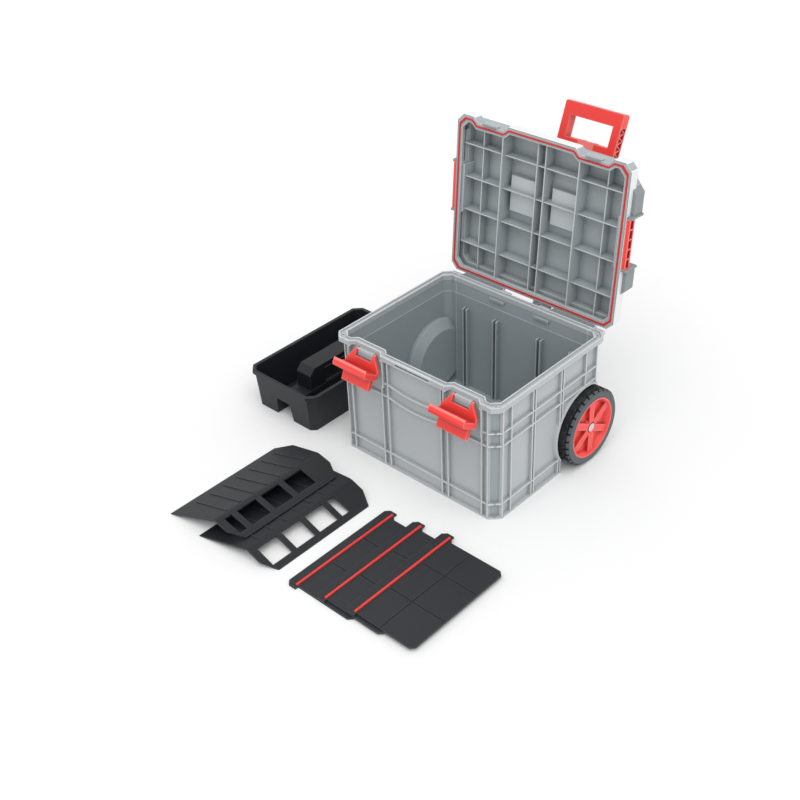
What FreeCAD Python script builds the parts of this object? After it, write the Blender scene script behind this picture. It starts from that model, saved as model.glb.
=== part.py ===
import FreeCAD, Part
import math
import os
from types import SimpleNamespace
import Sketcher

# Rolling toolbox: a ribbed crate on two wheels with a hinged lid, two latches, a leaning pull handle
# and the fittings that lift out of it and lie beside it.
# Frame: X to the right, Y to the back, Z up. The origin lies on the floor under the crate's middle.
# Lengths are in millimetres and angles in degrees.

driving_sizes = {
    # crate walls, ribs and rim
    "rim_width": 452, "rim_depth": 372, "rim_height": 292, "rim_corner": 15, "rim_band": 12, "rim_ledge": 14.5,
    "lip": 3, "lip_rise": 3, "wall": 3, "rib_depth": 7.5, "rib_thick": 3, "floor_thick": 4, "foot_band": 5,
    "low_rib": 40, "middle_rib": 190, "upper_rib": 222, "rib_sag": 9, "overrun": 20,
    "front_rib_a": 75, "front_rib_b": 92, "front_rib_c": 183, "front_rib_d": 198,
    "side_rib_front": 132, "side_rib_middle": 58, "side_rib_arch": 37, "side_rib_rear": 120, "rib_pair": 8,
    "guide_inner": 62.5, "guide_outer": 151, "guide_pair": 10, "guide_depth": 11, "guide_height": 222,
    "keeper_width": 40, "keeper_height": 275, "keeper_depth": 4, "keeper_thick": 6, "wall_step": 1,
    "step_height": 250, "split_shift": 0.5, "split_margin": 2,
    "slot_width": 96, "slot_height": 5, "slot_drop": 9, "corner_hole": 5, "corner_hole_inset": 14.75,
    # latches and the recesses they close
    "latch_offset": 135, "latch_width": 94, "latch_play": 1.5, "notch_floor": 69, "notch_bevel": 12.5,
    "notch_depth": 11, "recess_bottom": 212, "latch_inset": 7, "latch_drop": 14, "latch_roof": 0.5,
    "catch_width": 42, "catch_height": 17, "catch_depth": 8, "arch_offset": 35, "arch_drop": 8,
    "latch_pin": 4, "pin_play": 0.05, "ear_radius": 4, "ear_width": 5, "ear_gap": 2, "lever_thick": 6,
    "lever_stand": 1, "lever_length": 44, "lever_shoulder": 26, "flap_width": 78, "flap_stand": 3.5,
    "flap_thick": 10.5, "flap_length": 73, "finger_reach": 43, "finger_drop": 34, "finger_rise": 5,
    "finger_thick": 13, "finger_lip": 5, "latch_open_angle": 24,
    # hinge, lid, seal and carrying grips
    "hinge_back": 6.5, "hinge_drop": 8.5, "hinge_play": 0.6, "hinge_pin": 5, "knuckle_radius": 6,
    "hinge_inner": 42, "hinge_outer": 212, "lug_width": 26, "lug_drop": 22, "arm_width": 112, "arm_rise": 8,
    "lid_open_angle": 94.6, "lid_gap": 2, "lid_skirt": 24, "lid_crown": 20, "crown_inset": 14,
    "lid_wall": 3, "lid_flange": 8, "lid_rib": 2.4, "lid_rib_main": 100.3, "lid_rib_centre": 10.5,
    "lid_rib_side": 163.5, "main_rib_dip": 1, "centre_rib_dip": 8, "side_rib_dip": 17, "cross_rib_dip": 11,
    "cross_rib_a": 76, "cross_rib_b": 157, "cross_rib_c": 235, "cross_rib_d": 311,
    "bin_inner": 22, "bin_outer": 89, "bin_near": 183, "bin_far": 265, "bin_depth": 14,
    "seal_inset": 5.75, "seal_width": 3.5, "seal_height": 4, "seal_hang": 2.4,
    "tab_width": 36, "tab_drop": 6, "tab_thick": 3, "tab_play": 0.8, "tab_height": 10,
    "grip_near": 151, "grip_length": 112, "grip_reach": 9, "grip_base": 3, "grip_height": 17,
    "grip_web": 3, "bracket_thick": 5, "bracket_height": 46, "grip_hollow": 18, "hollow_end": 4,
    "gusset_rise": 14, "gusset_length": 78, "gusset_taper": 26,
    # wheels and axle
    "wheel_radius": 90, "wheel_width": 40, "wheel_reach": 21, "wheel_back": 121, "disc_radius": 71,
    "tyre_shoulder": 5, "tread_groove": 5, "tread_depth": 4, "tread_length": 13, "hub_dish": 11, "hub_rim": 7,
    "hub_radius": 17, "hub_web": 8, "spoke_width": 16, "well_gap": 5, "well_side": 2, "well_taper": 15,
    "well_core": 72, "well_front": 79, "axle_diameter": 12, "axle_play": 0.05, "axle_boss": 15,
    "boss_gap": 0.8, "cap_radius": 10, "cap_thick": 4, "cap_recess": 7, "cap_play": 0.4,
    "fender_rise": 7, "fender_edge": 4, "fender_reach": 1.5, "fender_rear": 19, "fender_low": 37,
    # pull handle
    "lean_angle": 21.6, "handle_back": 20, "handle_low": 70, "channel_width": 52, "channel_thick": 28,
    "channel_wall": 3, "channel_length": 241, "post_play": 0.5, "post_wall": 2.5, "post_low": 175,
    "post_high": 546, "collar_wall": 4, "collar_height": 18, "loop_width": 152, "loop_low": 531,
    "loop_height": 106, "loop_thick": 24, "loop_top": 30, "loop_side": 20, "loop_foot": 29, "loop_corner": 3,
    "loop_pin": 5, "loop_pocket": 5, "loop_pocket_wall": 3, "button_width": 40, "button_height": 11,
    "button_stand": 1, "button_play": 0.4, "button_travel": 4, "button_groove": 0.6, "console_width": 116,
    "console_low": 46, "console_high": 236,
    "console_plate": 6, "console_cheek": 8, "screw_shank": 5, "screw_head": 10, "screw_head_thick": 3,
    "screw_spread": 46, "screw_rise": 70,
    # lift-out tray
    "tray_x": -398, "tray_y": -27, "tray_width": 206, "tray_length": 364, "tray_height": 100, "tray_draft": 8,
    "tray_corner": 16, "tray_wall": 3, "tray_lip": 5, "tray_lip_height": 8, "tunnel_width": 55,
    "tunnel_height": 47, "tunnel_taper": 6, "ridge_width": 45, "ridge_length": 215, "ridge_height": 105,
    "ridge_slope": 16, "slot_length": 116, "slot_rise": 40, "slot_depth": 12,
    # bent organisers
    "flank_width": 133, "window_flank": 72, "bend_rise": 27, "organiser_length": 300, "organiser_thick": 3,
    "organiser_skew": 18, "organiser_corner": 20, "organiser_bevel": 36, "window_length": 52,
    "window_width": 47, "window_gap": 14, "window_first": 18, "window_inset": 10, "end_window": 20,
    "terrace_rise": 1.5, "terrace_length": 4, "lower_x": -225, "lower_y": -592, "upper_x": -327,
    "upper_y": -586, "upper_tilt_angle": 6.5,
    # fanned dividers
    "divider_x": 19, "divider_y": -590, "divider_step_x": 73, "divider_step_y": 8, "divider_margin": 27,
    "divider_width": 172, "divider_length": 295, "divider_thick": 4, "divider_gap": 0.3, "divider_corner": 9,
    "front_tab": 8, "rear_tab": 18, "groove_depth": 1.6, "groove_width": 2.6, "groove_end": 2,
    "strip_width": 4.5, "strip_height": 4, "strip_seat": 1.2, "strip_inset": 2,
}

spoke_count = 6
tread_count = 30
grip_pocket_count = 5
window_count = 3
terrace_count = 7
cross_groove_shares = (0.34, 0.66)
long_groove_share = 0.42

doc = FreeCAD.newDocument("rolling_toolbox")
sheet = doc.addObject("Spreadsheet::Sheet", "sizes")
for row, (alias, value) in enumerate(driving_sizes.items(), start=1):
    sheet.set(f"A{row}", alias)
    sheet.set(f"B{row}", str(value))
    sheet.setAlias(f"B{row}", alias)
doc.recompute()


class Size:
    # A length or an angle: its number, and the sheet expression that gives it.
    def __init__(self, number, text):
        self.number = number
        self.text = text

    def __add__(self, other):
        other = as_size(other)
        return Size(self.number + other.number, f"({self.text} + {other.text})")

    def __sub__(self, other):
        other = as_size(other)
        return Size(self.number - other.number, f"({self.text} - {other.text})")

    def __mul__(self, other):
        other = as_size(other)
        return Size(self.number * other.number, f"({self.text} * {other.text})")

    def __truediv__(self, other):
        other = as_size(other)
        return Size(self.number / other.number, f"({self.text} / {other.text})")

    def __radd__(self, other):
        return as_size(other) + self

    def __rsub__(self, other):
        return as_size(other) - self

    def __rmul__(self, other):
        return as_size(other) * self

    def __neg__(self):
        return self * -1


def as_size(value):
    return value if isinstance(value, Size) else Size(value, f"({value})")


def root(size):
    size = as_size(size)
    return Size(math.sqrt(size.number), f"sqrt({size.text})")


def tangent(angle):
    return Size(math.tan(math.radians(angle.number)), f"tan({angle.text})")


s = SimpleNamespace(**{name: Size(value, f"sizes.{name}") for name, value in driving_sizes.items()})
nodes = {}
x_axis = FreeCAD.Vector(1, 0, 0)
y_axis = FreeCAD.Vector(0, 1, 0)
z_axis = FreeCAD.Vector(0, 0, 1)
sides = ((-1, "left"), (1, "right"))


# Helpers: primitives, prisms and booleans bound to the sheet

def bind(item, prop, size):
    item.setExpression(prop, as_size(size).text)


def place(item, x=0, y=0, z=0):
    for axis, size in (("x", x), ("y", y), ("z", z)):
        bind(item, f"Placement.Base.{axis}", size)
    return item


def turn(item, axis, angle):
    item.Placement = FreeCAD.Placement(FreeCAD.Vector(), FreeCAD.Rotation(axis, as_size(angle).number))
    if isinstance(angle, Size):
        bind(item, "Placement.Rotation.Angle", angle)
    return item


def mirrored(side, near, far):
    # Bounds on X from two distances off the middle plane.
    return (near, far) if side > 0 else (-as_size(far), -as_size(near))


def both(half):
    return (-half, half)


def block(name, x, y, z):
    item = doc.addObject("Part::Box", name)
    for prop, (low, high) in (("Length", x), ("Width", y), ("Height", z)):
        bind(item, prop, as_size(high) - low)
    return place(item, x[0], y[0], z[0])


def rod_x(name, radius, x, y=0, z=0):
    item = turn(doc.addObject("Part::Cylinder", name), y_axis, 90)
    bind(item, "Radius", radius)
    bind(item, "Height", as_size(x[1]) - x[0])
    return place(item, x[0], y, z)


def rod_y(name, radius, y, x=0, z=0):
    item = turn(doc.addObject("Part::Cylinder", name), x_axis, -90)
    bind(item, "Radius", radius)
    bind(item, "Height", as_size(y[1]) - y[0])
    return place(item, x, y[0], z)


def cone_x(name, side, near, far, near_radius, far_radius, y, z):
    item = turn(doc.addObject("Part::Cone", name), y_axis, side * 90)
    bind(item, "Radius1", near_radius)
    bind(item, "Radius2", far_radius)
    bind(item, "Height", far - near)
    return place(item, side * near, y, z)


def fuse(name, items):
    item = doc.addObject("Part::MultiFuse", name)
    item.Shapes = items
    return item


def group(name, items):
    item = doc.addObject("Part::Compound", name)
    item.Links = items
    return item


def cut(name, base, tools):
    item = doc.addObject("Part::Cut", name)
    item.Base = base
    item.Tool = tools[0] if len(tools) == 1 else fuse(f"{name}_tools", tools)
    return item


def common(name, first, second):
    item = doc.addObject("Part::Common", name)
    item.Base = first
    item.Tool = second
    return item


def draw_loop(sketch, points):
    # A closed loop of lines whose every corner is bound to the sheet.
    first = sketch.GeometryCount
    count = len(points)
    points = [(as_size(across), as_size(along)) for across, along in points]
    corners = [FreeCAD.Vector(across.number, along.number, 0) for across, along in points]
    for i in range(count):
        sketch.addGeometry(Part.LineSegment(corners[i], corners[(i + 1) % count]), False)
    for i in range(count):
        sketch.addConstraint(Sketcher.Constraint("Coincident", first + i, 2, first + (i + 1) % count, 1))
    for i, corner in enumerate(points):
        for kind, size in zip(("DistanceX", "DistanceY"), corner):
            held = sketch.addConstraint(Sketcher.Constraint(kind, -1, 1, first + i, 1, size.number))
            bind(sketch, f"Constraints[{held}]", size)


def sketch_on(body, role, name, loops, offset=0):
    sketch = body.newObject("Sketcher::SketchObject", name)
    plane = next(item for item in body.Origin.OriginFeatures if item.Role == role)
    sketch.AttachmentSupport = [(plane, "")]
    sketch.MapMode = "FlatFace"
    bind(sketch, "AttachmentOffset.Base.z", offset)
    for points in loops:
        draw_loop(sketch, points)
    return sketch


def prism(name, role, loops, length, offset=0):
    # Padded outline: XY pads run up, YZ pads to the right, XZ pads to the front.
    body = doc.addObject("PartDesign::Body", name)
    sketch = sketch_on(body, role, f"{name}_outline", loops, offset)
    pad = body.newObject("PartDesign::Pad", f"{name}_pad")
    pad.Profile = sketch
    bind(pad, "Length", length)
    body.Tip = pad
    return body


def loft_up(name, low_loop, low, high_loop, high):
    body = doc.addObject("PartDesign::Body", name)
    foot = sketch_on(body, "XY_Plane", f"{name}_foot", [low_loop], low)
    head = sketch_on(body, "XY_Plane", f"{name}_head", [high_loop], high)
    loft = body.newObject("PartDesign::AdditiveLoft", f"{name}_loft")
    loft.Profile = foot
    loft.Sections = [head]
    loft.Ruled = True
    body.Tip = loft
    return body


def spun(name, points):
    # A half section of X and radius, turned about the X axis.
    body = doc.addObject("PartDesign::Body", name)
    sketch = sketch_on(body, "XZ_Plane", f"{name}_section", [points])
    turned = body.newObject("PartDesign::Revolution", f"{name}_turned")
    turned.Profile = sketch
    turned.ReferenceAxis = (sketch, ["H_Axis"])
    turned.Angle = 360
    body.Tip = turned
    return body


def octagon(half_x, half_y, corner):
    return [
        (corner - half_x, -half_y), (half_x - corner, -half_y), (half_x, corner - half_y),
        (half_x, half_y - corner), (half_x - corner, half_y), (corner - half_x, half_y),
        (-half_x, half_y - corner), (-half_x, corner - half_y),
    ]


def node(item, name):
    item.Label = name
    nodes[name] = item
    return item


# Outlines shared by crate and lid

half_x = s.rim_width / 2
half_y = s.rim_depth / 2
inner_x = half_x - s.rim_ledge
inner_y = half_y - s.rim_ledge
panel_x = inner_x + s.wall
panel_y = inner_y + s.wall
envelope_x = panel_x + s.rib_depth
envelope_y = panel_y + s.rib_depth
corner_gain = 2 - root(2)
wheel_track = s.rim_width + 2 * s.wheel_reach


def shell_loop(swell):
    # The cavity's bevelled rectangle, grown outwards evenly.
    return octagon(inner_x + swell, inner_y + swell, s.rim_corner + swell * corner_gain)


def rim_loop(inset):
    # The rim's outline with a bevelled notch in front of each latch, drawn in by an inset.
    x = half_x - inset
    y = half_y - inset
    bevel_length = root(s.notch_bevel * s.notch_bevel + s.notch_depth * s.notch_depth)
    drift = inset * (bevel_length - s.notch_bevel) / s.notch_depth
    deep = s.notch_floor / 2 + drift
    wide = deep + s.notch_bevel
    loop = octagon(x, y, s.rim_corner)
    notches = []
    for side in (-1, 1):
        middle = side * s.latch_offset
        notches += [
            (middle - wide, -y), (middle - deep, s.notch_depth - y), (middle + deep, s.notch_depth - y),
            (middle + wide, -y),
        ]
    return loop[:1] + notches + loop[1:]


# Crate shell: panels, ribs and rim

rib_swell = s.wall + s.rib_depth
rim_floor = s.rim_height - s.lip_rise
half_rib = s.rib_thick / 2


def rib_plate(name, low, thick):
    return prism(name, "XY_Plane", [shell_loop(rib_swell)], thick, low)


def sagging_rib(name, height):
    # Straight round the sides and the back, bowed down between the two inner front uprights.
    plate = rib_plate(f"{name}_plate", height - half_rib, s.rib_thick)
    gap = block(
        f"{name}_gap", (-s.front_rib_a, s.front_rib_a), (-s.rim_depth, -panel_y),
        (height - s.rib_thick, height + s.rib_thick))
    bow_radius = (s.front_rib_a * s.front_rib_a + s.rib_sag * s.rib_sag) / (2 * s.rib_sag)
    middle = height - s.rib_sag + bow_radius
    reach = (-envelope_y, s.wall / 2 - panel_y)
    outer = rod_y(f"{name}_bow_outer", bow_radius + half_rib, reach, 0, middle)
    inner = rod_y(f"{name}_bow_inner", bow_radius - half_rib, reach, 0, middle)
    span = block(
        f"{name}_span", (-s.front_rib_a - half_rib, s.front_rib_a + half_rib), (-s.rim_depth, 0),
        (height - s.rib_sag - s.rib_thick, height + s.rib_thick))
    bow = common(f"{name}_bow", cut(f"{name}_ring", outer, [inner]), span)
    return [cut(f"{name}_straight", plate, [gap]), bow]


def uprights():
    items = []
    back_reach = (panel_y, envelope_y)
    front_reach = (-envelope_y, -panel_y)
    for side, tag in sides:
        for letter, offset in zip("abcd", (s.front_rib_a, s.front_rib_b, s.front_rib_c, s.front_rib_d)):
            across = (side * offset - half_rib, side * offset + half_rib)
            items.append(block(f"front_rib_{letter}_{tag}", across, front_reach, (0, rim_floor)))
            items.append(block(f"back_rib_{letter}_{tag}", across, back_reach, (0, rim_floor)))
        corner_y = envelope_y - s.rim_corner - rib_swell * corner_gain - half_rib
        half_pair = s.rib_pair / 2
        rows = (
            -corner_y, -s.side_rib_front, -s.side_rib_middle - half_pair, half_pair - s.side_rib_middle,
            s.side_rib_arch - half_pair, s.side_rib_arch + half_pair, s.side_rib_rear, corner_y)
        for number, y in enumerate(rows):
            items.append(block(
                f"side_rib_{number}_{tag}", mirrored(side, panel_x, envelope_x), (y - half_rib, y + half_rib),
                (0, rim_floor)))
    return items


def rim_pieces():
    plate = prism("rim_plate", "XY_Plane", [rim_loop(0)], s.rim_band - s.lip_rise, s.rim_height - s.rim_band)
    outer = prism("outer_lip", "XY_Plane", [rim_loop(0), rim_loop(s.lip)], s.lip_rise, rim_floor)
    inner = prism(
        "inner_lip", "XY_Plane", [rim_loop(s.rim_ledge - s.lip), rim_loop(s.rim_ledge)], s.lip_rise, rim_floor)
    return [plate, outer, inner]


# Latch recesses between cheeks that carry the latch pins

latch_y = s.latch_inset - half_y
latch_z = s.rim_height - s.latch_drop
recess_half = s.latch_width / 2 + s.latch_play
cheek_half = recess_half + s.wall
ear_in = s.catch_width / 2 + s.ear_gap
ear_out = ear_in + s.ear_width


def latch_bounds(side, half):
    return (side * s.latch_offset - half, side * s.latch_offset + half)


def cheeks():
    height = (s.recess_bottom, s.rim_height - s.rim_band)
    return [
        block(f"cheeks_{tag}", latch_bounds(side, cheek_half), (-half_y, -panel_y), height)
        for side, tag in sides]


def recess_cuts():
    # A tall pocket that ends in an arch beside each ear of the lever.
    items = []
    reach = (-half_y - s.overrun, -panel_y)
    arch_radius = recess_half - s.arch_offset
    arch_z = latch_z - s.arch_drop
    for side, tag in sides:
        items.append(block(
            f"recess_{tag}", latch_bounds(side, recess_half), reach, (s.recess_bottom, arch_z)))
        items.append(block(
            f"ear_room_{tag}", latch_bounds(side, ear_out + s.ear_gap), reach,
            (arch_z, latch_z + s.ear_radius + s.latch_roof)))
        for edge in (-1, 1):
            x = side * s.latch_offset + edge * s.arch_offset
            items.append(rod_y(f"arch_{tag}_{'b' if edge > 0 else 'a'}", arch_radius, reach, x, arch_z))
    return items


def catch_blocks():
    # Solid blocks between the levers' ears, which hold the latch pins.
    top = latch_z + s.ear_radius + s.latch_roof
    height = (top - s.catch_height, top)
    reach = (-panel_y - s.catch_depth, -panel_y)
    return [
        block(f"catch_block_{tag}", latch_bounds(side, s.catch_width / 2), reach, height)
        for side, tag in sides]


def latch_pin_rods(name, radius):
    return [
        rod_x(f"{name}_{tag}", radius, latch_bounds(side, ear_out), latch_y, latch_z) for side, tag in sides]


# Wheel wells: round hollows with a tapered core, open to the rear and the floor, under flared fenders

well_radius = s.wheel_radius + s.well_gap
well_x = wheel_track / 2 - s.wheel_width - s.well_side
well_end = well_x - s.well_taper
well_front_y = s.wheel_back - s.well_front
axle_y = s.wheel_back
axle_z = s.wheel_radius


def well_solids(side, tag, swell, outer_x, rear_y, low_z):
    # The hollow of one well, or with a swell the wall round it.
    near = well_x - swell
    radius = well_radius + swell
    across = mirrored(side, near, outer_x)
    return [
        rod_x(f"well_round_{tag}", radius, across, axle_y, axle_z),
        cone_x(f"well_core_{tag}", side, well_end - swell, near, s.well_core + swell, radius, axle_y, axle_z),
        block(f"well_foot_{tag}", across, (well_front_y - swell, rear_y), (low_z, axle_z)),
    ]


def bulge(side, tag):
    solids = well_solids(side, f"bulge_{tag}", s.wall, envelope_x, panel_y, 0)
    room = block(f"bulge_room_{tag}", mirrored(side, 0, envelope_x), (0, panel_y), (0, s.rim_height))
    return common(f"bulge_{tag}", fuse(f"bulge_whole_{tag}", solids), room)


def fender(side, tag):
    flare = cone_x(
        f"flare_{tag}", side, panel_x, envelope_x + s.fender_reach, well_radius + s.fender_rise,
        well_radius + s.fender_edge, axle_y, axle_z)
    room = block(
        f"fender_room_{tag}", mirrored(side, 0, s.rim_width), (0, envelope_y - s.fender_rear),
        (s.fender_low, s.rim_height))
    return common(f"fender_{tag}", flare, room)


def axle_bosses():
    near = well_end - s.wall
    far = wheel_track / 2 - s.wheel_width - s.boss_gap
    return [
        rod_x(f"axle_boss_{tag}", s.axle_boss, mirrored(side, near, far), axle_y, axle_z)
        for side, tag in sides]


axle_end = wheel_track / 2 - s.cap_recess


def stub_rods(name, radius):
    return [
        rod_x(f"{name}_{tag}", radius, mirrored(side, well_end, axle_end), axle_y, axle_z)
        for side, tag in sides]


# Hinge lugs behind the rim, and the guides and keepers on the inner back wall

hinge_y = half_y + s.hinge_back
hinge_z = s.rim_height - s.hinge_drop


def hinge_lugs():
    items = []
    for side, tag in sides:
        for letter, near in (("a", s.hinge_inner), ("b", s.hinge_outer - s.lug_width)):
            across = mirrored(side, near, near + s.lug_width)
            items.append(rod_x(f"lug_round_{tag}_{letter}", s.knuckle_radius, across, hinge_y, hinge_z))
            items.append(block(
                f"lug_web_{tag}_{letter}", across, (panel_y, hinge_y), (hinge_z - s.knuckle_radius, hinge_z)))
            items.append(block(
                f"lug_foot_{tag}_{letter}", across, (panel_y, half_y + s.hinge_back / 2),
                (hinge_z - s.lug_drop, hinge_z)))
    return items


def back_wall_details():
    items = []
    for side, tag in sides:
        for letter, offset in (("inner", s.guide_inner), ("outer", s.guide_outer)):
            for edge in (-1, 1):
                x = side * offset + edge * s.guide_pair / 2
                items.append(block(
                    f"guide_{tag}_{letter}_{'b' if edge > 0 else 'a'}", (x - half_rib, x + half_rib),
                    (inner_y - s.guide_depth, inner_y), (s.floor_thick, s.guide_height)))
        middle = side * s.guide_inner
        items.append(block(
            f"keeper_{tag}", (middle - s.keeper_width / 2, middle + s.keeper_width / 2),
            (inner_y - s.keeper_depth, panel_y), (s.keeper_height - s.keeper_thick, s.keeper_height)))
    return items


def hinge_span(side):
    return mirrored(side, s.hinge_inner, s.hinge_outer)


def trim_cuts():
    items = [block(
        "front_slot", (-s.slot_width / 2, s.slot_width / 2), (-half_y - s.overrun, s.rim_ledge / 2 - half_y),
        (s.rim_height - s.slot_drop, s.rim_height - s.slot_drop + s.slot_height))]
    for side, tag in sides:
        items.append(rod_x(
            f"hinge_bore_{tag}", s.hinge_pin / 2 + s.pin_play, hinge_span(side), hinge_y, hinge_z))
        for end, where in ((-1, "front"), (1, "back")):
            hole = doc.addObject("Part::Cylinder", f"corner_hole_{tag}_{where}")
            bind(hole, "Radius", s.corner_hole / 2)
            bind(hole, "Height", s.rim_band + s.overrun)
            items.append(place(
                hole, side * (half_x - s.corner_hole_inset), end * (half_y - s.corner_hole_inset),
                s.rim_height - s.rim_band / 2))
    return items


console_middle = (s.console_low + s.console_high) / 2
screw_places = [
    (side * s.screw_spread, console_middle + level * s.screw_rise) for side in (-1, 1) for level in (-1, 1)]


def screw_rods(name, radius, reach):
    return [rod_y(f"{name}_{number}", radius, reach, x, z) for number, (x, z) in enumerate(screw_places)]


def crate_shell():
    adds = [prism("panel_walls", "XY_Plane", [shell_loop(s.wall)], rim_floor)]
    adds.append(rib_plate("foot_plate", 0, s.foot_band))
    adds.append(rib_plate("low_plate", s.low_rib - half_rib, s.rib_thick))
    adds += sagging_rib("middle_rib", s.middle_rib)
    adds += sagging_rib("upper_rib", s.upper_rib)
    adds += uprights() + rim_pieces() + cheeks() + hinge_lugs()
    adds += screw_rods("screw_boss", s.screw_head / 2 + s.wall, (panel_y, envelope_y))
    adds += [fender(side, tag) for side, tag in sides]
    bulges = [bulge(side, tag) for side, tag in sides]
    band_low = s.rim_height - s.rim_band
    cavity_parts = [
        prism("cavity_low", "XY_Plane", [shell_loop(0)], band_low - s.floor_thick, s.floor_thick),
        prism("cavity_step", "XY_Plane", [shell_loop(s.wall_step)], band_low - s.step_height, s.step_height),
        prism("cavity_rim", "XY_Plane", [rim_loop(s.rim_ledge)], s.rim_band + s.overrun, band_low),
    ]
    hollows = [cut("cavity", fuse("cavity_whole", cavity_parts), bulges + back_wall_details())]
    for side, tag in sides:
        hollows += well_solids(side, tag, 0, wheel_track, s.rim_depth, -s.overrun)
    shell = cut("crate_hollowed", fuse("crate_outside", adds), hollows + recess_cuts() + trim_cuts())
    bores = stub_rods("stub_bore", s.axle_diameter / 2 + s.axle_play)
    bores += latch_pin_rods("latch_bore", s.latch_pin / 2 + s.pin_play)
    bores += screw_rods("screw_bore", s.screw_shank / 2 + s.pin_play, (panel_y, envelope_y))
    return cut("crate", fuse("crate_bossed", [shell] + axle_bosses() + catch_blocks()), bores)


def crate_sections():
    # The one moulding, drawn in plain sections that meet on flat planes.
    crate = crate_shell()
    corner_x = inner_x - s.rim_corner - s.split_shift
    corner_y = inner_y - s.rim_corner - s.split_shift
    well_plane = well_end - s.wall - s.split_margin
    rise = (s.floor_thick, s.rim_height + s.overrun)
    bounds = {
        "crate_floor": (both(s.rim_width), both(s.rim_depth), (-s.overrun, s.floor_thick)),
        "crate_front": (both(corner_x), (-s.rim_depth, -inner_y), rise),
        "crate_ledges": (both(corner_x), (-inner_y, -corner_y), rise),
        "crate_back": (both(well_plane), (0, s.rim_depth), rise),
    }
    for side, tag in sides:
        outwards = mirrored(side, corner_x, s.rim_width)
        bounds[f"crate_corner_{tag}"] = (outwards, (-s.rim_depth, -corner_y), rise)
        bounds[f"crate_side_{tag}"] = (outwards, (-corner_y, 0), rise)
        bounds[f"crate_well_{tag}"] = (mirrored(side, well_plane, s.rim_width), (0, s.rim_depth), rise)
    for name, room in bounds.items():
        node(common(f"{name}_section", crate, block(f"{name}_room", *room)), name)


crate_sections()

# Stub axles with their end caps, and the pins of hinges and latches

node(group("stub_pair", stub_rods("stub", s.axle_diameter / 2)), "axle_stubs")
node(group("cap_pair", [
    rod_x(f"cap_{tag}", s.cap_radius, mirrored(side, axle_end, axle_end + s.cap_thick), axle_y, axle_z)
    for side, tag in sides]), "axle_retainers")
node(group("hinge_pin_pair", [
    rod_x(f"hinge_pin_{tag}", s.hinge_pin / 2, hinge_span(side), hinge_y, hinge_z)
    for side, tag in sides]), "hinge_pins")
node(group("latch_pin_pair", latch_pin_rods("latch_pin", s.latch_pin / 2)), "latch_pins")

# Wheels: a dished six-spoke hub inside a treaded tyre, drawn about the axle with the outer face to the right

hub_in = wheel_track / 2 - s.wheel_width
hub_out = wheel_track / 2
hub_bore = s.axle_diameter / 2 + s.axle_play
hub_face = hub_out - s.hub_dish
rim_inside = s.disc_radius - s.hub_rim
cap_floor = axle_end - s.cap_play


def hub(tag):
    disc = spun(f"hub_disc_{tag}", [
        (hub_in, hub_bore), (hub_in, s.hub_radius), (hub_face - s.hub_web, s.hub_radius),
        (hub_face - s.hub_web, rim_inside), (hub_in + s.tyre_shoulder, rim_inside),
        (hub_in + s.tyre_shoulder, s.disc_radius), (hub_out, s.disc_radius),
        (hub_out, rim_inside + s.hub_rim / 2),
        (hub_face, rim_inside - s.hub_dish / 2), (hub_face, s.hub_radius + s.hub_dish / 2),
        (hub_out - s.hub_dish / 3, s.hub_radius), (hub_out - s.hub_dish / 3, s.cap_radius + s.wall),
        (cap_floor, s.cap_radius + s.wall / 2), (cap_floor, hub_bore),
    ])
    bar = block(
        f"spoke_{tag}", (hub_face - s.hub_web / 2, hub_out - s.hub_dish / 3),
        (-s.spoke_width / 2, s.spoke_width / 2), (s.hub_radius - s.wall, rim_inside + s.hub_rim / 4))
    spokes = [
        turn(group(f"spoke_{tag}_{number}", [bar]), x_axis, number * 360 / spoke_count)
        for number in range(spoke_count)]
    return fuse(f"hub_{tag}", [disc] + spokes)


def tyre(tag):
    ring = spun(f"tyre_ring_{tag}", [
        (hub_in + s.tyre_shoulder, s.disc_radius), (hub_in, s.disc_radius + s.tyre_shoulder),
        (hub_in, s.wheel_radius - s.tyre_shoulder), (hub_in + s.tyre_shoulder, s.wheel_radius),
        (hub_out - s.tyre_shoulder, s.wheel_radius), (hub_out, s.wheel_radius - s.tyre_shoulder),
        (hub_out, s.disc_radius),
    ])
    edges = {
        "outer": (hub_out - s.tread_length, hub_out + s.overrun),
        "inner": (hub_in - s.overrun, hub_in + s.tread_length),
    }
    grooves = []
    for number, (edge, across) in enumerate(edges.items()):
        bar = block(
            f"groove_{edge}_{tag}", across, (-s.tread_groove / 2, s.tread_groove / 2),
            (s.wheel_radius - s.tread_depth, s.wheel_radius + s.overrun))
        for step in range(tread_count):
            angle = (step + number / len(edges)) * 360 / tread_count
            grooves.append(turn(group(f"groove_{edge}_{tag}_{step}", [bar]), x_axis, angle))
    return cut(f"tyre_{tag}", ring, [group(f"grooves_{tag}", grooves)])


for side, tag in sides:
    for name, piece in (("wheel_hub", hub(tag)), ("wheel_tyre", tyre(tag))):
        turn(piece, z_axis, 0 if side > 0 else 180)
        node(place(piece, 0, axle_y, axle_z), f"{name}_{tag}")

# Lid, drawn closed with the hinge axis as its X axis, then swung open

lid_seat = s.hinge_drop + s.lid_gap
lid_shoulder = lid_seat + s.lid_skirt
lid_top = lid_shoulder + s.lid_crown
lid_middle = -half_y - s.hinge_back


def lid_prism(name, loops, low, high):
    moved = [[(x, y + lid_middle) for x, y in loop] for loop in loops]
    return prism(name, "XY_Plane", moved, as_size(high) - low, low)


def crown_loop(inset):
    drawn_in = s.crown_inset + inset
    return octagon(half_x - drawn_in, half_y - drawn_in, s.rim_corner - inset * corner_gain)


def swing_open(item, name):
    turn(item, -x_axis, s.lid_open_angle)
    return node(place(item, 0, hinge_y, hinge_z), name)


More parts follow.
